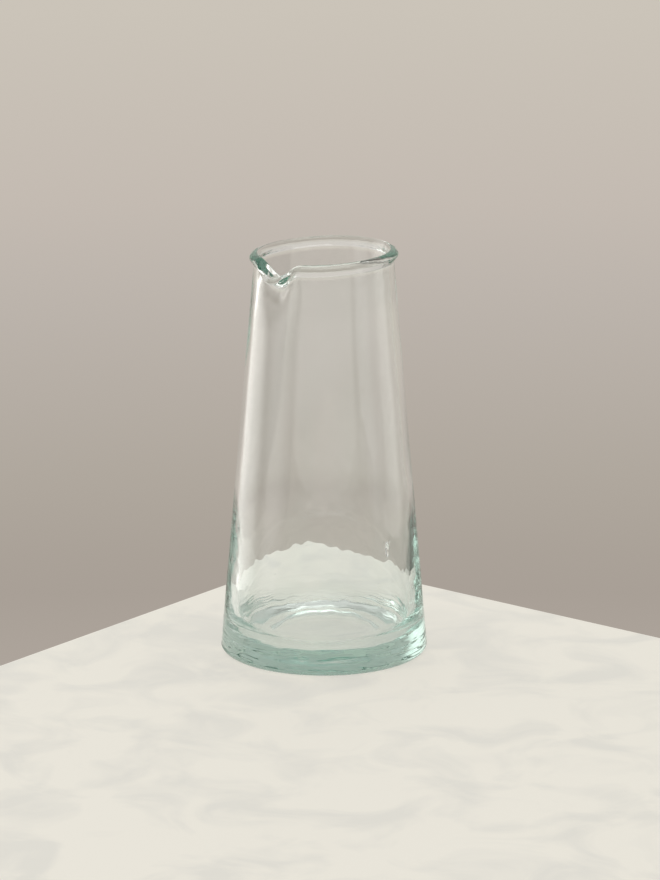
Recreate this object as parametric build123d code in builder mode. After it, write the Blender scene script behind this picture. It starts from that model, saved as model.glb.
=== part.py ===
"""Wine decanter blown from one piece of recycled glass.

A straight conical body on a thick foot, open at the top, with a rounded everted
lip that is pressed down and pinched in at one place into a V-shaped pouring notch.
Frame: +Z up, origin on the table at the centre of the foot, notch towards -Y.
Units are millimetres.
"""

from math import cos, radians, sin
import os

from build123d import *

# Body
HEIGHT = 217.0  # table to the crest of the lip
FOOT_RADIUS = 55.2  # outside of the cone carried down to the table
NECK_RADIUS = 36.7  # outside, just under the lip
LIP_HEIGHT = 6.5  # crest of the lip to the crease under it
HEEL_RADIUS = 2.6  # rounding between the wall and the standing ring

# Wall
NECK_WALL = 3.1
WAIST_WALL = 2.8  # just above the place where the wall thickens towards the foot
WAIST_HEIGHT = 82.0

# Foot
FLOOR_HEIGHT = 8.5  # table to the inside floor
FLOOR_DISC_RADIUS = 31.5  # flat middle of the inside floor
BOWL_RADIUS = 15.0  # round between the floor and the wall
FOOT_INSET = 1.4  # outside of the wall to the outside of the foot it holds
FLANK_RUN_OUT = 0.3  # how far the flank of the foot runs on inside the wall, as a share
PUSH_UP_RADIUS = 31.0  # shallow hollow under the foot, inside the standing ring
PUSH_UP_DEPTH = 0.9
PUSH_UP_EDGE = 4.0  # width of the slope round its flat roof

# Pouring notch
NOTCH_DIP = 7.4  # how far the lip is pressed down
NOTCH_PINCH = 3.2  # how far the wall under the lip is pinched in
NOTCH_SPREAD = 5.0  # how far the pinched lip is spread out again, over the wall
NOTCH_HALF_ANGLE = 21.0  # azimuth from the middle of the notch to its corners
NOTCH_ROUNDING = 0.26  # rounding of corners and bottom, as a share of the half angle
NOTCH_BLEND = 24.0  # how far below the neck the pinch starts
SECTOR_HALF_ANGLE = 30.0  # half of the wall that is lofted; the rest is revolved
SECTOR_STEPS = 24  # slices of the loft

TRIM = 3.0  # glass left below the table and cut off again

CREASE_HEIGHT = HEIGHT - LIP_HEIGHT
TAPER = (FOOT_RADIUS - NECK_RADIUS) / CREASE_HEIGHT

# Lip from the crease, over the crest, to the inside of the neck: how far outside the neck
# radius and how far below the crest each point is, and its share of the spread in the notch.
LIP_POINTS = [
    (0.0, LIP_HEIGHT, 0.05),
    (1.15, 4.75, 0.7),
    (2.25, 2.95, 1.0),
    (1.35, 1.2, 1.0),
    (-0.5, 0.2, 0.12),
    (-1.9, 0.15, 0.0),
    (-2.85, 1.15, 0.0),
    (-NECK_WALL, 3.4, 0.0),
]


def outer_radius(z):
    """Outside radius of the cone at height z."""
    return FOOT_RADIUS - TAPER * z


def inner_radius(z):
    """Inside radius of the wall at height z, without the foot."""
    share = (z - WAIST_HEIGHT) / (CREASE_HEIGHT - WAIST_HEIGHT)
    return outer_radius(z) - WAIST_WALL - share * (NECK_WALL - WAIST_WALL)


def rounded_ramp(x):
    """x above zero and nothing below it, with a rounded corner between the two."""
    if abs(x) >= NOTCH_ROUNDING:
        return max(x, 0.0)
    return (x + NOTCH_ROUNDING) ** 2 / (4 * NOTCH_ROUNDING)


def notch_share(azimuth):
    """How far the notch is pressed at an azimuth: 1 in the middle, 0 outside it."""
    t = abs(azimuth) / NOTCH_HALF_ANGLE
    if t < NOTCH_ROUNDING:
        t = (t * t + NOTCH_ROUNDING**2) / (2 * NOTCH_ROUNDING)
    return rounded_ramp(1 - t) / rounded_ramp(1 - NOTCH_ROUNDING / 2)


def meridian(azimuth):
    """Half plane through the axis, azimuth from the notch: x is radius, y is height."""
    direction = radians(azimuth - 90)
    x_dir = Vector(cos(direction), sin(direction), 0)
    return Plane(origin=(0, 0, 0), x_dir=x_dir, z_dir=x_dir.cross(Vector(0, 0, 1)))


def wall_section(azimuth):
    """Sketch of the wall and its lip on the meridian at an azimuth from the notch."""
    share = notch_share(azimuth)
    points = []
    for out, down, spread in LIP_POINTS:
        radius = NECK_RADIUS + out + share * (spread * NOTCH_SPREAD - NOTCH_PINCH)
        points.append((radius, HEIGHT - down - share * NOTCH_DIP))
    blend = CREASE_HEIGHT - NOTCH_BLEND
    outside = Vector(outer_radius(blend), blend)
    inside = Vector(inner_radius(blend), blend)
    up = (Vector(*points[0]) - outside).normalized()
    down = (inside - Vector(*points[-1])).normalized()
    with BuildSketch(meridian(azimuth)) as section:
        with BuildLine():
            lip = Spline(*points, tangents=[up, down])
            slope = Vector(-TAPER, 1)
            outer = Spline(outside, lip @ 0, tangents=[slope, lip % 0])
            inner = Spline(inside, lip @ 1, tangents=[slope, (lip % 1) * -1])
            outer_wall = Line((outer_radius(-TRIM), -TRIM), outer @ 0)
            inner_wall = Line((inner_radius(-TRIM), -TRIM), inner @ 0)
            Line(outer_wall @ 0, inner_wall @ 0)
        make_face()
    return section.sketch


with BuildPart() as glass_vessel:
    # Wall with the notch
    for step in range(SECTOR_STEPS + 1):
        share = 2 * step / SECTOR_STEPS - 1
        add(wall_section(share * SECTOR_HALF_ANGLE))
    loft()
    # The rest of the wall
    add(wall_section(SECTOR_HALF_ANGLE))
    revolve(axis=Axis.Z, revolution_arc=360 - 2 * SECTOR_HALF_ANGLE)
    # Foot, with its upper edge running out inside the wall
    with BuildSketch(Plane.XZ):
        with BuildLine():
            bowl_end = Vector(FLOOR_DISC_RADIUS + BOWL_RADIUS, FLOOR_HEIGHT + BOWL_RADIUS)
            waist = Vector(inner_radius(WAIST_HEIGHT), WAIST_HEIGHT)
            floor = Line((0, FLOOR_HEIGHT), (FLOOR_DISC_RADIUS, FLOOR_HEIGHT))
            TangentArc(floor @ 1, bowl_end, tangent=(1, 0))
            flank = Line(bowl_end, waist + (waist - bowl_end) * FLANK_RUN_OUT)
            outer_foot = (outer_radius(0) - FOOT_INSET, -TRIM)
            Polyline(flank @ 1, outer_foot, (0, -TRIM), floor @ 0)
        make_face()
    revolve(axis=Axis.Z)
    # Table level, then the heel, then the hollow under the foot
    with BuildSketch():
        Circle(2 * FOOT_RADIUS)
    extrude(amount=-2 * TRIM, mode=Mode.SUBTRACT)
    fillet(glass_vessel.edges().group_by(Axis.Z)[0], HEEL_RADIUS)
    with BuildSketch(Plane.XZ):
        with BuildLine():
            roof = Line((0, PUSH_UP_DEPTH), (PUSH_UP_RADIUS - PUSH_UP_EDGE, PUSH_UP_DEPTH))
            slope = Spline(roof @ 1, (PUSH_UP_RADIUS, 0), tangents=[(1, 0), (1, 0)])
            Polyline(slope @ 1, (PUSH_UP_RADIUS, -TRIM), (0, -TRIM), roof @ 0)
        make_face()
    revolve(axis=Axis.Z, mode=Mode.SUBTRACT)

glass_vessel.part.label = "glass_vessel"
os.makedirs("parts", exist_ok=True)
export_step(glass_vessel.part, "parts/glass_vessel.step")
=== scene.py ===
"""Visual model of the wine decanter: one vessel of pale green blown glass on a plain table.

Lengths in the shape code are millimetres; they turn into metres when the mesh is made.
Materials and the stage are in metres. The frame is the CAD one: +Z up, origin on the table
under the middle of the foot, and the pouring notch towards -Y. An azimuth is in degrees: 0 at
the notch, and growing towards +X.
"""

import math

import bpy
import numpy as np
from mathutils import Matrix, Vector

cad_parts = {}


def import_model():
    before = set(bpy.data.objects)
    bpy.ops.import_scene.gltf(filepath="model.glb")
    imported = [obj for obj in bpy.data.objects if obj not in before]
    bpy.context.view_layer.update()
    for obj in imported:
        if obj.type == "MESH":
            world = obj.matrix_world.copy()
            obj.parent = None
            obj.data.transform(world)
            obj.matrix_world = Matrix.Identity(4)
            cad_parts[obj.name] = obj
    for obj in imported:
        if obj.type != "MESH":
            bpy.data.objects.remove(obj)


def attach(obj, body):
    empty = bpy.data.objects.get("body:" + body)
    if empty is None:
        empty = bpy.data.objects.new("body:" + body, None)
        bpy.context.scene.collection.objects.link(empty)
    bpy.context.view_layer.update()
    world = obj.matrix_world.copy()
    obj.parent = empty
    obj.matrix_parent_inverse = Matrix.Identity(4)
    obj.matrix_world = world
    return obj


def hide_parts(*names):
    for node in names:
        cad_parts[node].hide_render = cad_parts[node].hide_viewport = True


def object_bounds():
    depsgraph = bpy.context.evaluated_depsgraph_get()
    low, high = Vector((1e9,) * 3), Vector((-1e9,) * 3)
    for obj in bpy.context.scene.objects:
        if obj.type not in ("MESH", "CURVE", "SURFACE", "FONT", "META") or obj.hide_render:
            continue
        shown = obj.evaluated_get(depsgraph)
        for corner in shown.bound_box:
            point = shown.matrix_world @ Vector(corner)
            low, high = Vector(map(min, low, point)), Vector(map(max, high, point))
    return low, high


MM = 0.001

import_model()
cad_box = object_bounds()

# ---------------------------------------------------------------- outline
HEIGHT = (cad_box[1] - cad_box[0]).z / MM
FOOT_RADIUS = 55.2  # outside of the cone carried down to the table
NECK_RADIUS = 36.7  # outside, just under the lip
LIP_HEIGHT = 6.5  # crest of the lip to the crease under it
HEEL_RADIUS = 2.6  # rounding between the wall and the standing ring
HEEL_INSET = 0.2  # about how far the wall leans in over the height of the heel
BAND_TOP = 27.0  # the rows of the outside are closer together up to here
NECK_BOTTOM = 180.0
NECK_WALL = 3.1
WAIST_WALL = 2.8
WAIST_HEIGHT = 82.0
INNER_TOP, INNER_BOTTOM = 190.0, 96.0  # straight part of the inside
FLANK_POINT = (46.2, 50)  # radius and height of the inside between the waist and the bowl
FLOOR_HEIGHT = 8.5  # table to the inside floor
FLOOR_DISC_RADIUS = 31.5
FLOOR_MIDDLE_RADIUS = 21.0  # outside this, the rows of the floor are closer together
BOWL_RADIUS = 15.0  # round between the floor and the wall
PUSH_UP_RADIUS = 31.0  # shallow hollow under the foot, inside the standing ring
PUSH_UP_DEPTH = 0.9
PUSH_UP_EDGE = 4.0  # width of the slope round its flat roof
FIRST_RADIUS = 1.0  # of the innermost row of the underside
CREASE_HEIGHT = HEIGHT - LIP_HEIGHT
TAPER = (FOOT_RADIUS - NECK_RADIUS) / CREASE_HEIGHT
# the lip from the crease over the crest to the inside: out from the neck, down from the crest
LIP_POINTS = [
    (0.0, 6.5),
    (1.15, 4.75),
    (2.25, 2.95),
    (1.35, 1.2),
    (-0.5, 0.2),
    (-1.9, 0.15),
    (-2.85, 1.15),
    (-3.1, 3.4),
]

# ---------------------------------------------------------------- pouring notch
NOTCH_DIP = 7.4  # how far the lip is pressed down
NOTCH_PINCH = 3.2  # how far the wall under the lip is pinched in
NOTCH_SPREAD = 5.0  # how far the pinched lip is spread out again, over the wall
NOTCH_HALF_ANGLE = 21.0
NOTCH_ROUNDING = 0.36  # of the bottom, as a share of the half angle
SHOULDER_ROUNDING = 0.2  # of the corners, as a share of the half angle
NOTCH_BLEND = 34.0  # how far below the crease the notch starts
SPREAD_BELOW, SPREAD_LENGTH = 0.5, 3.5  # the spread starts this far below the crease
DRAWN_IN_SHARE, DRAWN_IN_HALF_ANGLE = 0.6, 30.0  # the wall below the lip: less, but wider
LIP_PINCH_BELOW, LIP_PINCH_LENGTH = 10.0, 9.0  # where the lip's own pinch takes over

# ---------------------------------------------------------------- hand-made unevenness
# patterns of ripples: (random seed, most waves per turn, shortest wave, waves in the sum)
SLOW_INSIDE, SLOW_OUTSIDE = (3, 6, 60, 24), (7, 6, 60, 24)
HAMMERED_INSIDE, HAMMERED_OUTSIDE = (5, 40, 6, 24), (9, 44, 5, 24)
LIP_IN_AND_OUT, LIP_UP_AND_DOWN = (21, 46, 11, 24), (22, 42, 11, 24)
LONG_SWIRLS, SHORT_SWIRLS = (31, 3, 6, 24), (33, 7, 3.5, 24)
FINE_WRINKLES, COARSE_WRINKLES = (11, 20, 2.0, 48), (13, 7, 3.8, 24)
PATCHES = (15, 7, 18, 16)

# sizes in millimetres, and phases in radians
SLOW_SIZE = 0.05
HAMMERED_SIZE, HAMMERED_EXTRA = 0.005, 0.017  # everywhere, and what low walls have on top
LIP_RIPPLE_SIZE = 0.02
LONG_SWIRL_SIZE, SHORT_SWIRL_SIZE = 0.05, 0.03
FINE_WRINKLE_SIZE, COARSE_WRINKLE_SIZE = 0.06, 0.09
OVAL_SIZE, OVAL_PHASE = 0.25, 0.7
LEAN_SIZE, LEAN_AZIMUTH = 1.15, 134.0  # the lean lifts the lip most at this azimuth
LIP_WAVE_SIZE, LIP_WAVE_PHASE = 0.22, 1.9
RING_RADIUS, RING_DEPTH, RING_WIDTH = 25.5, 0.2, 1.5
RING_SHIFT, RING_SHIFT_PHASE, RING_WAVE = 0.7, 1.9, 0.25

# where they fade in: (none of it here, all of it here), as heights; SWIRLS_OUTSIDE is a radius
WALL_RIPPLES = (0, 30)
CALMER_WALL = (60, 120)
OVAL_NECK = (120, 210)
LEANING_TOP = (150, 217)
LIP_EDGE = (207, 212)
SWIRLS_BELOW = (60, 20)
SWIRLS_OUTSIDE = (6, 26)
WRINKLES_START = (0, 2)
WRINKLES_END = (7, 23)  # here they fade out

EVEN_SHARE, PATCHY_SHARE = 0.8, 0.2  # of the wrinkles
PATCH_LEVEL, PATCH_CONTRAST = 0.5, 0.9
CALM_AZIMUTH, CALM_HALF_ANGLE = 227.0, 40.0  # where the wrinkles are weakest
CALM_REACH, CALM_SHARE = 1.3, 0.6

# ---------------------------------------------------------------- seeds: bubbles in the wall
# (azimuth, height, depth below the outside, (half width, half height, half thickness))
LARGE_SEEDS = [
    (87.0, 64.0, 1.65, (1.45, 4.1, 1.05)),
    (89.5, 67.5, 1.5, (0.35, 0.9, 0.3)),
]
SMALL_SEED_COUNT, SMALL_SEED_DRAW = 34, 41  # how many, and which random draw
SMALL_SEED_HEIGHTS = (30, 185)
SMALL_SEED_HALF_WIDTHS = (0.10, 0.26)
SMALL_SEED_DEPTHS = (1.0, 1.8)
SMALL_SEED_STRETCH = (1, 2.4)  # height for each unit of width

# ---------------------------------------------------------------- fineness of the mesh
# rows of the outline, part by part
HOLLOW, HOLLOW_EDGE, RING, HEEL = 7, 7, 5, 8
BAND, WALL, NECK, LIP = 56, 36, 18, 34
IN_TOP, IN_WALL, FLANK, BOWL, FLOOR_EDGE, FLOOR = 12, 20, 22, 16, 14, 6
# first rows: of the outside wall, the lip, its inner half, and the inside below its straight part
OUTSIDE = HOLLOW + HOLLOW_EDGE + RING + HEEL
LIP_START = OUTSIDE + BAND + WALL + NECK
CREST = LIP_START + LIP // 2
INSIDE_LOW = CREST + LIP // 2 + IN_TOP + IN_WALL
# columns, in degrees: closer together round the notch
FINE_HALF_ANGLE, FINE_STEP, COARSE_STEP = 33, 0.62, 1.14


def outer_radius(z):
    return FOOT_RADIUS - TAPER * z


def inner_radius(z):
    share = (z - WAIST_HEIGHT) / (CREASE_HEIGHT - WAIST_HEIGHT)
    return outer_radius(z) - WAIST_WALL - share * (NECK_WALL - WAIST_WALL)


def smooth(t):
    t = np.clip(t, 0.0, 1.0)
    return t * t * (3 - 2 * t)


def fade(x, span):
    """0 up to the start of the span and 1 from its end, and smooth between them."""
    return smooth((x - span[0]) / (span[1] - span[0]))


def line(a, b, n):
    """n points from a towards b, without b."""
    t = np.arange(n) / n
    return [(a[0] + (b[0] - a[0]) * s, a[1] + (b[1] - a[1]) * s) for s in t]


def through(points, start, end, n):
    """n points on a smooth curve through the points, leaving along start and arriving along end."""
    p = np.array(points, float)
    gaps = np.linalg.norm(np.diff(p, axis=0), axis=1)
    slopes = np.empty_like(p)
    slopes[0] = np.array(start) / np.linalg.norm(start)
    slopes[-1] = np.array(end) / np.linalg.norm(end)
    before = np.diff(p, axis=0) / gaps[:, None]
    w = gaps[1:, None] / (gaps[:-1] + gaps[1:])[:, None]
    slopes[1:-1] = w * before[:-1] + (1 - w) * before[1:]
    along = np.concatenate([[0], np.cumsum(gaps)])
    out = []
    for s in np.arange(n) / n * along[-1]:
        i = min(np.searchsorted(along, s, side="right") - 1, len(gaps) - 1)
        h = gaps[i]
        t = (s - along[i]) / h
        a = (1 + 2 * t) * (1 - t) ** 2 * p[i] + t * t * (3 - 2 * t) * p[i + 1]
        b = t * (1 - t) ** 2 * h * slopes[i] - t * t * (1 - t) * h * slopes[i + 1]
        out.append(tuple(a + b))
    return out


def underside():
    """Hollow, standing ring and heel."""
    flat = PUSH_UP_RADIUS - PUSH_UP_EDGE
    rows = line((FIRST_RADIUS, PUSH_UP_DEPTH), (flat, PUSH_UP_DEPTH), HOLLOW)
    for k in range(HOLLOW_EDGE):
        s = k / HOLLOW_EDGE
        rows.append((flat + PUSH_UP_EDGE * s, PUSH_UP_DEPTH * (1 - s) ** 2 * (1 + 2 * s)))
    heel_r = FOOT_RADIUS - HEEL_RADIUS - HEEL_INSET
    rows += line((PUSH_UP_RADIUS, 0), (heel_r, 0), RING)
    for k in range(HEEL):
        a = math.radians(90 * k / HEEL)
        rows.append((heel_r + HEEL_RADIUS * math.sin(a), HEEL_RADIUS * (1 - math.cos(a))))
    return rows


def outside_wall():
    low = (outer_radius(HEEL_RADIUS), HEEL_RADIUS)
    band = (outer_radius(BAND_TOP), BAND_TOP)
    neck = (outer_radius(NECK_BOTTOM), NECK_BOTTOM)
    crease = (NECK_RADIUS, CREASE_HEIGHT)
    return line(low, band, BAND) + line(band, neck, WALL) + line(neck, crease, NECK)


def inside(start):
    """Inside wall from a starting point, bowl and floor."""
    top = (inner_radius(INNER_TOP), INNER_TOP)
    bottom = (inner_radius(INNER_BOTTOM), INNER_BOTTOM)
    waist = (inner_radius(WAIST_HEIGHT), WAIST_HEIGHT)
    bowl = (FLOOR_DISC_RADIUS + BOWL_RADIUS, FLOOR_HEIGHT + BOWL_RADIUS)
    rows = line(start, top, IN_TOP) + line(top, bottom, IN_WALL)
    rows += through([bottom, waist, FLANK_POINT, bowl], (TAPER, -1), (0, -1), FLANK)
    for k in range(BOWL):
        a = math.radians(90 * k / BOWL)
        r = FLOOR_DISC_RADIUS + BOWL_RADIUS * math.cos(a)
        rows.append((r, FLOOR_HEIGHT + BOWL_RADIUS * (1 - math.sin(a))))
    edge = (FLOOR_DISC_RADIUS, FLOOR_HEIGHT)
    middle = (FLOOR_MIDDLE_RADIUS, FLOOR_HEIGHT)
    return rows + line(edge, middle, FLOOR_EDGE) + line(middle, (0, FLOOR_HEIGHT), FLOOR)


def profile():
    """The outline from the middle of the underside, round the outside, to the inside floor."""
    lip = [(NECK_RADIUS + out, HEIGHT - down) for out, down in LIP_POINTS]
    rows = underside() + outside_wall()
    rows += through(lip, (-TAPER, 1), (TAPER, -1), LIP)
    return np.array(rows + inside(lip[-1]))


def rounded_ramp(x):
    """x where it is above zero and 0 below, with the corner between the two rounded."""
    x = np.asarray(x, float)
    low = (x + SHOULDER_ROUNDING) ** 2 / (4 * SHOULDER_ROUNDING)
    return np.where(np.abs(x) < SHOULDER_ROUNDING, low, np.maximum(x, 0))


def notch_share(azimuth):
    """How far the notch is pressed at an azimuth: 1 in its middle and 0 outside it."""
    t = np.abs(azimuth) / NOTCH_HALF_ANGLE
    near = (t * t + NOTCH_ROUNDING**2) / (2 * NOTCH_ROUNDING)
    t = np.where(t < NOTCH_ROUNDING, near, t)
    return rounded_ramp(1 - t) / rounded_ramp(1 - NOTCH_ROUNDING / 2)


def ripple(az, s, pattern):
    """Smooth noise of unit size over the azimuth and the length s."""
    seed, turns, length, count = pattern
    rng = np.random.default_rng(seed)
    total = np.zeros(np.broadcast(az, s).shape)
    for _ in range(count):
        m = rng.integers(0, turns + 1)
        q = rng.uniform(-1, 1) * 2 * math.pi / length
        total += np.cos(m * az + q * s + rng.uniform(0, 2 * math.pi))
    return total / math.sqrt(count / 2)


def with_notch(r, z, index, signed):
    """The lip pinched in and down, and its outside spread out again.

    The wall below the lip is drawn in too, more softly.
    """
    share = notch_share(signed)
    blend = smooth((z - (CREASE_HEIGHT - NOTCH_BLEND)) / NOTCH_BLEND)
    spread = smooth((z - CREASE_HEIGHT + SPREAD_BELOW) / SPREAD_LENGTH)
    spread = np.where(index > CREST, 0, spread)
    near_lip = smooth((z - CREASE_HEIGHT + LIP_PINCH_BELOW) / LIP_PINCH_LENGTH)
    soft = DRAWN_IN_SHARE * smooth(1 - np.abs(signed) / DRAWN_IN_HALF_ANGLE)
    drawn_in = soft * (1 - near_lip) + share * near_lip
    r = r + NOTCH_SPREAD * spread * share - NOTCH_PINCH * blend * drawn_in
    return r, z - NOTCH_DIP * share * blend


def with_rippled_walls(r, z, index, phi):
    wall = fade(z, WALL_RIPPLES) * np.where(index >= OUTSIDE, 1, 0)
    hammered = HAMMERED_SIZE + HAMMERED_EXTRA * (1 - fade(z, CALMER_WALL))
    inner = SLOW_SIZE * ripple(phi, z, SLOW_INSIDE) + hammered * ripple(phi, z, HAMMERED_INSIDE)
    outer = SLOW_SIZE * ripple(phi, z, SLOW_OUTSIDE) + hammered * ripple(phi, z, HAMMERED_OUTSIDE)
    return r + wall * np.where(index > CREST, inner, outer)


def with_uneven_top(r, z, index, phi):
    """A slightly oval neck, and a lip that leans, waves and ripples a little."""
    r = r + fade(z, OVAL_NECK) * OVAL_SIZE * np.cos(2 * phi + OVAL_PHASE)
    lean = LEAN_SIZE * np.cos(phi - np.radians(LEAN_AZIMUTH))
    wave = LIP_WAVE_SIZE * np.cos(3 * phi + LIP_WAVE_PHASE)
    z = z + fade(z, LEANING_TOP) * (lean + wave)
    edge = fade(z, LIP_EDGE) * LIP_RIPPLE_SIZE
    return r + edge * ripple(phi, index, LIP_IN_AND_OUT), z + edge * ripple(phi, index, LIP_UP_AND_DOWN)


def with_uneven_floor(r, z, index, phi):
    """Slow swirls inside the foot, and a shallow uneven ring on the floor."""
    foot = np.where(index >= INSIDE_LOW, fade(z, SWIRLS_BELOW), 0)
    long = LONG_SWIRL_SIZE * ripple(phi, r, LONG_SWIRLS)
    short = SHORT_SWIRL_SIZE * ripple(phi, r, SHORT_SWIRLS)
    z = z + foot * fade(r, SWIRLS_OUTSIDE) * (long + short)
    shift = RING_SHIFT * np.cos(phi - RING_SHIFT_PHASE)
    ring = r - RING_RADIUS - shift - RING_WAVE * np.cos(3 * phi)
    return z - np.where(foot > 0, RING_DEPTH, 0) * np.exp(-((ring / RING_WIDTH) ** 2))


def with_chill_wrinkles(r, z, index, phi, signed):
    """Wrinkles low on the outside, drawn out sideways and fainter higher up."""
    outside = (index >= OUTSIDE) & (index < LIP_START)
    low = np.where(outside, fade(z, WRINKLES_START) * (1 - fade(z, WRINKLES_END)), 0)
    patches = smooth(PATCH_LEVEL + PATCH_CONTRAST * ripple(phi, z, PATCHES))
    patch = EVEN_SHARE + PATCHY_SHARE * patches
    from_calm = np.abs((signed + 360) % 360 - CALM_AZIMUTH)
    patch = patch * (1 - CALM_SHARE * smooth(CALM_REACH - from_calm / CALM_HALF_ANGLE))
    fine = FINE_WRINKLE_SIZE * ripple(phi, z, FINE_WRINKLES)
    coarse = COARSE_WRINKLE_SIZE * ripple(phi, z, COARSE_WRINKLES)
    return r + low * patch * (fine + coarse)


def glass_grid():
    """Points of the skin: a row for each row of the outline, a column for each azimuth."""
    rows = profile()
    fine = np.arange(-FINE_HALF_ANGLE, FINE_HALF_ANGLE, FINE_STEP)
    coarse = np.arange(FINE_HALF_ANGLE, 360 - FINE_HALF_ANGLE, COARSE_STEP)
    az = np.unique(np.round(np.concatenate([fine, coarse]), 4))
    phi = np.radians(az)[None, :]
    signed = (az[None, :] + 180) % 360 - 180
    index = np.arange(len(rows))[:, None]
    r, z = np.repeat(rows[:, :1], len(az), 1), np.repeat(rows[:, 1:], len(az), 1)
    # each step starts from the shape that the steps before it left
    r, z = with_notch(r, z, index, signed)
    r = with_rippled_walls(r, z, index, phi)
    r, z = with_uneven_top(r, z, index, phi)
    z = with_uneven_floor(r, z, index, phi)
    r = with_chill_wrinkles(r, z, index, phi, signed)
    return np.stack([r * np.sin(phi), -r * np.cos(phi), z], -1)


def seed_bubble(azimuth, height, depth, size):
    """A closed bubble in the wall: size is half of its width, height and thickness."""
    turns, rings = 12, 8
    a = math.radians(azimuth)
    out = np.array([math.sin(a), -math.cos(a), 0])
    along = np.array([math.cos(a), math.sin(a), 0])
    up = np.array([0, 0, 1.0]) - TAPER * out
    centre = out * (outer_radius(height) - depth) + np.array([0, 0, height])
    points = [centre - up * size[1]]
    for i in range(1, rings):
        b = math.pi * i / rings
        for j in range(turns):
            c = 2 * math.pi * j / turns
            side = along * (size[0] * math.cos(c)) + out * (size[2] * math.sin(c))
            points.append(centre - up * (size[1] * math.cos(b)) + side * math.sin(b))
    points.append(centre + up * size[1])
    faces = []
    for j in range(turns):
        k = (j + 1) % turns
        faces.append((0, 1 + k, 1 + j))
        for i in range(rings - 2):
            low = 1 + i * turns
            faces.append((low + j, low + k, low + turns + k, low + turns + j))
        last = 1 + (rings - 2) * turns
        faces.append((len(points) - 1, last + j, last + k))
    # turned inside out, because the glass is outside the bubble
    return points, [face[::-1] for face in faces]


def seeds():
    """The large seeds, and small ones scattered through the wall."""
    found = list(LARGE_SEEDS)
    rng = np.random.default_rng(SMALL_SEED_DRAW)
    for _ in range(SMALL_SEED_COUNT):
        height = rng.uniform(*SMALL_SEED_HEIGHTS)
        width = rng.uniform(*SMALL_SEED_HALF_WIDTHS)
        azimuth = rng.uniform(0, 360)
        depth = rng.uniform(*SMALL_SEED_DEPTHS)
        stretch = rng.uniform(*SMALL_SEED_STRETCH)
        found.append((azimuth, height, depth, (width, width * stretch, width)))
    return found


def new_object(name, verts, faces):
    mesh = bpy.data.meshes.new(name)
    mesh.from_pydata(verts, [], faces)
    mesh.update()
    ob = bpy.data.objects.new(name, mesh)
    bpy.context.scene.collection.objects.link(ob)
    return ob


def build_glass():
    grid = glass_grid()
    m, n = grid.shape[:2]
    verts = [tuple(p * MM) for p in grid.reshape(-1, 3)]
    faces = []
    for i in range(m - 1):
        for j in range(n):
            k = (j + 1) % n
            faces.append((i * n + j, i * n + k, (i + 1) * n + k, (i + 1) * n + j))
    # the middle of the underside and the middle of the floor close it
    under, floor = len(verts), len(verts) + 1
    verts.append((0, 0, float(grid[0, :, 2].mean()) * MM))
    verts.append((0, 0, float(grid[-1, :, 2].mean()) * MM))
    for j in range(n):
        k = (j + 1) % n
        faces.append((under, k, j))
        faces.append((floor, (m - 1) * n + j, (m - 1) * n + k))
    for where in seeds():
        points, shell = seed_bubble(*where)
        first = len(verts)
        verts += [tuple(p * MM) for p in points]
        faces += [tuple(first + k for k in face) for face in shell]
    ob = new_object("decanter_glass", verts, faces)
    ob.data.shade_smooth()
    return ob


# ---------------------------------------------------------------- shader nodes
def srgb(*rgb):
    """Linear colour from 8-bit display values."""
    shares = [c / 255 for c in rgb]
    return tuple(c / 12.92 if c <= 0.04045 else ((c + 0.055) / 1.055) ** 2.4 for c in shares)


def empty_tree(owner):
    """The node tree of a material or a world, with nothing in it."""
    owner.use_nodes = True
    owner.node_tree.nodes.clear()
    return owner.node_tree


def feed(nt, target, value):
    """Connect another node's output to an input, or set the input to a plain value."""
    if isinstance(value, bpy.types.NodeSocket):
        nt.links.new(value, target)
    else:
        target.default_value = value


def maths(nt, operation, *values):
    node = nt.nodes.new("ShaderNodeMath")
    node.operation = operation
    for target, value in zip(node.inputs, values):
        feed(nt, target, value)
    return node.outputs[0]


def vector_maths(nt, operation, output, *values):
    node = nt.nodes.new("ShaderNodeVectorMath")
    node.operation = operation
    for target, value in zip(node.inputs, values):
        feed(nt, target, value)
    return node.outputs[output]


def mapped(nt, value, start, end, low=0.0, high=1.0, kind="LINEAR"):
    """A value taken from start..end to low..high, and held at both ends."""
    node = nt.nodes.new("ShaderNodeMapRange")
    node.interpolation_type = kind
    names = ("Value", "From Min", "From Max", "To Min", "To Max")
    for name, given in zip(names, (value, start, end, low, high)):
        feed(nt, node.inputs[name], given)
    return node.outputs[0]


def position(nt, kind="Object"):
    return nt.nodes.new("ShaderNodeTexCoord").outputs[kind]


def split(nt, vector):
    """The outputs X, Y and Z of a vector."""
    node = nt.nodes.new("ShaderNodeSeparateXYZ")
    nt.links.new(vector, node.inputs[0])
    return node.outputs


def noise(nt, vector, scale, detail, distortion=0.0):
    node = nt.nodes.new("ShaderNodeTexNoise")
    node.inputs["Scale"].default_value = scale
    node.inputs["Detail"].default_value = detail
    node.inputs["Distortion"].default_value = distortion
    nt.links.new(vector, node.inputs["Vector"])
    return node.outputs["Fac"]


def ramp(nt, value, stops):
    """A colour ramp: each stop is a position from 0 to 1 and a linear colour."""
    node = nt.nodes.new("ShaderNodeValToRGB")
    elements = node.color_ramp.elements
    while len(elements) < len(stops):
        elements.new(0.5)
    for element, (place, colour) in zip(elements, stops):
        element.position = place
        element.color = (*colour, 1)
    nt.links.new(value, node.inputs["Fac"])
    return node.outputs["Color"]


def blended(nt, share, first, second):
    """The first colour where the share is 0 and the second where it is 1."""
    node = nt.nodes.new("ShaderNodeMix")
    node.data_type = "RGBA"
    feed(nt, node.inputs["Factor"], share)
    # the inputs 6 and 7 are the two colours
    feed(nt, node.inputs[6], first)
    feed(nt, node.inputs[7], second)
    return node.outputs[2]


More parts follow.
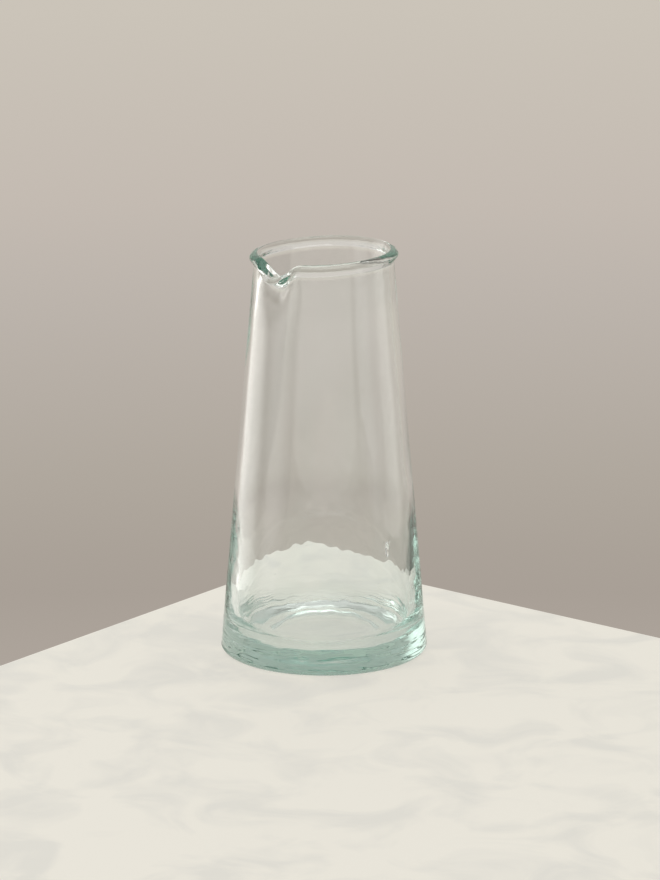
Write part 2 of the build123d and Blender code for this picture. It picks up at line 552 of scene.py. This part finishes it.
# ---------------------------------------------------------------- glass
GLASS_IOR = 1.5
ABSORPTION_COLOUR, ABSORPTION_DENSITY = (0.0, 0.42, 0.31, 1), 7.6  # the green of deep glass
CORD_SCALE, CORD_DETAIL, CORD_STRETCH = 55, 3, (1, 1, 0.3)
CORD_TINT, NO_TINT = (0.985, 0.996, 0.991), (1.0, 1.0, 1.0)
CORD_STOPS = (0.35, 0.65)
# distance from the axis less the height: clear up to the first, fully worn from the second
WORN_RANGE = (0.0528, 0.0545)
WORN_ROUGHNESS = 0.34
FRAY_SCALE, FRAY_DETAIL, FRAY_SIZE = 260, 2, 0.0016


def cords(nt, place):
    """Streaks in the glass that tint it a little."""
    stretch = nt.nodes.new("ShaderNodeMapping")
    stretch.inputs["Scale"].default_value = CORD_STRETCH
    nt.links.new(place, stretch.inputs["Vector"])
    streaks = noise(nt, stretch.outputs["Vector"], CORD_SCALE, CORD_DETAIL)
    return ramp(nt, streaks, list(zip(CORD_STOPS, (CORD_TINT, NO_TINT))))


def worn_heel(nt, place):
    """Roughness: none but for the heel that the vessel stands on, with a frayed edge."""
    level = vector_maths(nt, "MULTIPLY", "Vector", place, (1, 1, 0))
    reach = vector_maths(nt, "LENGTH", "Value", level)
    heel = maths(nt, "SUBTRACT", reach, split(nt, place)["Z"])
    grit = noise(nt, place, FRAY_SCALE, FRAY_DETAIL)
    frayed = maths(nt, "MULTIPLY_ADD", grit, FRAY_SIZE, heel)
    return mapped(nt, frayed, *WORN_RANGE, 0.0, WORN_ROUGHNESS)


def glass_material():
    """Clear glass that is green where it is deep."""
    mat = bpy.data.materials.new("pale_green_glass")
    nt = empty_tree(mat)
    out = nt.nodes.new("ShaderNodeOutputMaterial")
    p = nt.nodes.new("ShaderNodeBsdfPrincipled")
    p.inputs["Transmission Weight"].default_value = 1.0
    p.inputs["IOR"].default_value = GLASS_IOR
    place = position(nt)
    nt.links.new(cords(nt, place), p.inputs["Base Color"])
    nt.links.new(worn_heel(nt, place), p.inputs["Roughness"])
    depth = nt.nodes.new("ShaderNodeVolumeAbsorption")
    depth.inputs["Color"].default_value = ABSORPTION_COLOUR
    depth.inputs["Density"].default_value = ABSORPTION_DENSITY
    nt.links.new(p.outputs["BSDF"], out.inputs["Surface"])
    nt.links.new(depth.outputs["Volume"], out.inputs["Volume"])
    return mat


glass = build_glass()
glass.data.materials.append(glass_material())
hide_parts("glass_vessel")
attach(glass, "root")

# ---------------------------------------------------------------- stage
# places are (to the camera's right, away from it, up) from the origin
CAMERA_AZIMUTH, CAMERA_PITCH = 44.0, 15.0  # from the notch towards +X, and down
CAMERA_DISTANCE = 2.540
CAMERA_ASIDE, CAMERA_TARGET_HEIGHT = 0.0032, 0.1139
FOCAL_LENGTH = 60 / 11  # in picture heights
SENSOR = 36

TABLE_CORNER = (-0.0127, 0.170, -0.00015)
TABLE_LEFT_EDGE, TABLE_RIGHT_EDGE = (-0.615, -0.788), (0.782, -0.623)  # ways from the corner
TABLE_SIZE, TABLE_THICKNESS, TABLE_BEVEL = 1.6, 0.03, 0.002
CLOUD_SCALE, CLOUD_DETAIL, CLOUD_DISTORTION = 22, 4, 0.8
CLOUD_STOPS = (0.36, 0.56)
# display colours, the darker and the lighter one of the clouds
TABLE_COLOURS = ((103, 101, 98), (111, 108, 104))
TABLE_GLOW_COLOURS = ((222, 220, 211), (231, 228, 217))
TABLE_GLOW = 0.8
TABLE_ROUGHNESS = 0.7

# display colours by elevation in degrees
WALL_STOPS = [
    (-35, (186, 179, 169)),
    (-19.5, (180, 171, 161)),
    (-17.6, (173, 164, 155)),
    (-16.7, (168, 159, 150)),
    (-15.5, (175, 167, 157)),
    (-14.5, (181, 173, 164)),
    (-13.3, (188, 180, 172)),
    (-12.1, (196, 187, 178)),
    (-9.8, (203, 196, 185)),
    (10, (212, 205, 198)),
    (40, (220, 216, 211)),
    (65, (228, 226, 222)),
]
ROOM_STOPS = [
    (-30, (190, 186, 178)),
    (0, (198, 194, 188)),
    (18, (150, 146, 140)),
    (50, (166, 162, 157)),
    (75, (228, 226, 222)),
]
GLOOM = (84, 82, 76)
# spans of a direction's share towards the camera, towards its right, and upwards
WALL_TO_ROOM = (-0.45, 0.35)
GLOOM_ASIDE = (0.2, 0.36)
GLOOM_BELOW = (-0.29, -0.35)

WINDOW_COLOUR = (1.0, 0.985, 0.96, 1)
# windows: (name, place, (width, height), glow, (softness across, softness up))
WINDOWS = [
    ("window_left", (-1.05, 0.55, 0.1), (1.35, 1.8), 1.25, (0.35, 0.2)),
    ("window_side", (-1.15, -0.45, 0.1), (1.1, 1.8), 0.75, (0.45, 0.2)),
    ("window_front", (0.03, -0.9, 0.1), (1.9, 0.36), 0.75, (0.12, 0.4)),
]
# lights: (name, place, aim, (width, height), watts, colour)
BODY_MIDDLE = (0, 0, 0.1)
LIGHTS = [
    ("overhead", (0.1, -0.2, 1.5), (0, 0, 0), (1.2, 1.2), 5, (1.0, 0.985, 0.95)),
    ("fill_right", (1.2, -0.5, 0.2), BODY_MIDDLE, (0.8, 0.9), 0.9, (1.0, 0.99, 0.97)),
]
BOUNCES = 128  # light guided along the glass turns in it many times before it leaves


def turned(right, forward, up=0.0):
    """A point given in the camera's own directions, turned into the frame."""
    a = math.radians(CAMERA_AZIMUTH)
    x = right * math.cos(a) - forward * math.sin(a)
    y = right * math.sin(a) + forward * math.cos(a)
    return Vector((x, y, up))


def place_unseen(ob, place, aim):
    """Put a light or a panel at a place, turned towards a point and hidden from the camera."""
    ob.location = turned(*place)
    ob.rotation_mode = "QUATERNION"
    ob.rotation_quaternion = (turned(*place) - turned(*aim)).to_track_quat("Z", "Y")
    ob.visible_camera = False


def table_material():
    """Pale and faintly clouded.

    The table glows a little by itself, so it stays pale under the glass as in a bright room.
    """
    mat = bpy.data.materials.new("pale_table")
    mat.use_nodes = True
    nt = mat.node_tree
    p = nt.nodes["Principled BSDF"]
    clouds = noise(nt, position(nt), CLOUD_SCALE, CLOUD_DETAIL, CLOUD_DISTORTION)
    for target, colours in (("Base Color", TABLE_COLOURS), ("Emission Color", TABLE_GLOW_COLOURS)):
        stops = [(place, srgb(*rgb)) for place, rgb in zip(CLOUD_STOPS, colours)]
        nt.links.new(ramp(nt, clouds, stops), p.inputs[target])
    p.inputs["Emission Strength"].default_value = TABLE_GLOW
    p.inputs["Roughness"].default_value = TABLE_ROUGHNESS
    return mat


def table_top():
    """A table with one corner behind the vessel, and its top a hair below the foot."""
    corner = turned(*TABLE_CORNER)
    left = turned(*TABLE_LEFT_EDGE).normalized()
    right = turned(*TABLE_RIGHT_EDGE).normalized()
    across = [Vector((0, 0, 0)), left, left + right, right]
    top = [corner + way * TABLE_SIZE for way in across]
    down = Vector((0, 0, -TABLE_THICKNESS))
    faces = [(0, 1, 2, 3), (7, 6, 5, 4), (0, 4, 5, 1), (1, 5, 6, 2), (2, 6, 7, 3), (3, 7, 4, 0)]
    ob = new_object("table", top + [v + down for v in top], faces)
    edge = ob.modifiers.new("edge", "BEVEL")
    edge.width = TABLE_BEVEL
    edge.segments = 3
    ob.data.materials.append(table_material())


def world():
    """A plain wall behind the table, and a mostly darker room on the side of the camera."""
    w = bpy.data.worlds.new("studio")
    bpy.context.scene.world = w
    nt = empty_tree(w)
    out = nt.nodes.new("ShaderNodeOutputWorld")
    bg = nt.nodes.new("ShaderNodeBackground")
    direction = position(nt, "Generated")
    up = split(nt, direction)["Z"]
    lift = mapped(nt, up, -1.0, 1.0)

    def by_elevation(stops):
        places = [math.sin(math.radians(degrees)) * 0.5 + 0.5 for degrees, _ in stops]
        return ramp(nt, lift, [(place, srgb(*rgb)) for place, (_, rgb) in zip(places, stops)])

    def towards(way, span):
        share = vector_maths(nt, "DOT_PRODUCT", "Value", direction, way)
        return mapped(nt, share, *span, kind="SMOOTHSTEP")

    room_share = towards(turned(0, -1), WALL_TO_ROOM)
    colour = blended(nt, room_share, by_elevation(WALL_STOPS), by_elevation(ROOM_STOPS))
    # darker low down on the camera's right
    below = mapped(nt, up, *GLOOM_BELOW, kind="SMOOTHSTEP")
    gloomy = maths(nt, "MULTIPLY", towards(turned(1, 0), GLOOM_ASIDE), below)
    colour = blended(nt, gloomy, colour, (*srgb(*GLOOM), 1))
    nt.links.new(colour, bg.inputs["Color"])
    nt.links.new(bg.outputs[0], out.inputs[0])


def softbox(name, place, aim, size, power, colour):
    data = bpy.data.lights.new(name, "AREA")
    data.shape = "RECTANGLE"
    data.size, data.size_y = size
    data.energy = power
    data.color = colour
    ob = bpy.data.objects.new(name, data)
    bpy.context.scene.collection.objects.link(ob)
    place_unseen(ob, place, aim)


def window_material(name, glow, softness):
    """A glow that fades out towards the edges of the panel.

    It is left out of what shows through the glass without a reflection, so it makes no white
    shape behind the glass from any side.
    """
    mat = bpy.data.materials.new(name)
    nt = empty_tree(mat)
    axes = split(nt, position(nt, "Generated"))
    sides = []
    for axis, soft in zip("XY", softness):
        rise = maths(nt, "PINGPONG", axes[axis], 0.5)
        sides.append(mapped(nt, rise, 0.0, soft, kind="SMOOTHSTEP"))
    power = maths(nt, "MULTIPLY", maths(nt, "MULTIPLY", *sides), glow)
    path = nt.nodes.new("ShaderNodeLightPath")
    reflected = maths(nt, "GREATER_THAN", path.outputs["Glossy Depth"], 0.5)
    open_air = maths(nt, "SUBTRACT", 1.0, path.outputs["Is Transmission Ray"])
    strength = maths(nt, "MULTIPLY", power, maths(nt, "MAXIMUM", reflected, open_air))
    emit = nt.nodes.new("ShaderNodeEmission")
    emit.inputs["Color"].default_value = WINDOW_COLOUR
    nt.links.new(strength, emit.inputs["Strength"])
    clear = nt.nodes.new("ShaderNodeBsdfTransparent")
    add = nt.nodes.new("ShaderNodeAddShader")
    nt.links.new(emit.outputs[0], add.inputs[0])
    nt.links.new(clear.outputs[0], add.inputs[1])
    out = nt.nodes.new("ShaderNodeOutputMaterial")
    nt.links.new(add.outputs[0], out.inputs["Surface"])
    return mat


def window(name, place, size, glow, softness):
    """A glowing panel that lights the table and shows in the glass as a reflection."""
    w, h = size[0] / 2, size[1] / 2
    ob = new_object(name, [(-w, -h, 0), (w, -h, 0), (w, h, 0), (-w, h, 0)], [(0, 1, 2, 3)])
    place_unseen(ob, place, BODY_MIDDLE)
    ob.data.materials.append(window_material(name, glow, softness))


def camera():
    """The photo's viewing angle, through a long lens."""
    data = bpy.data.cameras.new("camera")
    data.sensor_width = SENSOR
    data.lens = FOCAL_LENGTH * SENSOR
    data.clip_start, data.clip_end = 0.1, 50
    ob = bpy.data.objects.new("camera", data)
    bpy.context.scene.collection.objects.link(ob)
    pitch = math.radians(CAMERA_PITCH)
    height = CAMERA_TARGET_HEIGHT + CAMERA_DISTANCE * math.sin(pitch)
    place = turned(CAMERA_ASIDE, -CAMERA_DISTANCE * math.cos(pitch), height)
    aim = turned(CAMERA_ASIDE, 0, CAMERA_TARGET_HEIGHT)
    ob.location = place
    ob.rotation_mode = "QUATERNION"
    ob.rotation_quaternion = (aim - place).to_track_quat("-Z", "Y")
    bpy.context.scene.camera = ob


table_top()
world()
for panel in WINDOWS:
    window(*panel)
for light in LIGHTS:
    softbox(*light)
camera()
scene = bpy.context.scene
scene.view_settings.view_transform = "Standard"
scene.cycles.max_bounces = BOUNCES
scene.cycles.transmission_bounces = BOUNCES
scene.cycles.glossy_bounces = BOUNCES
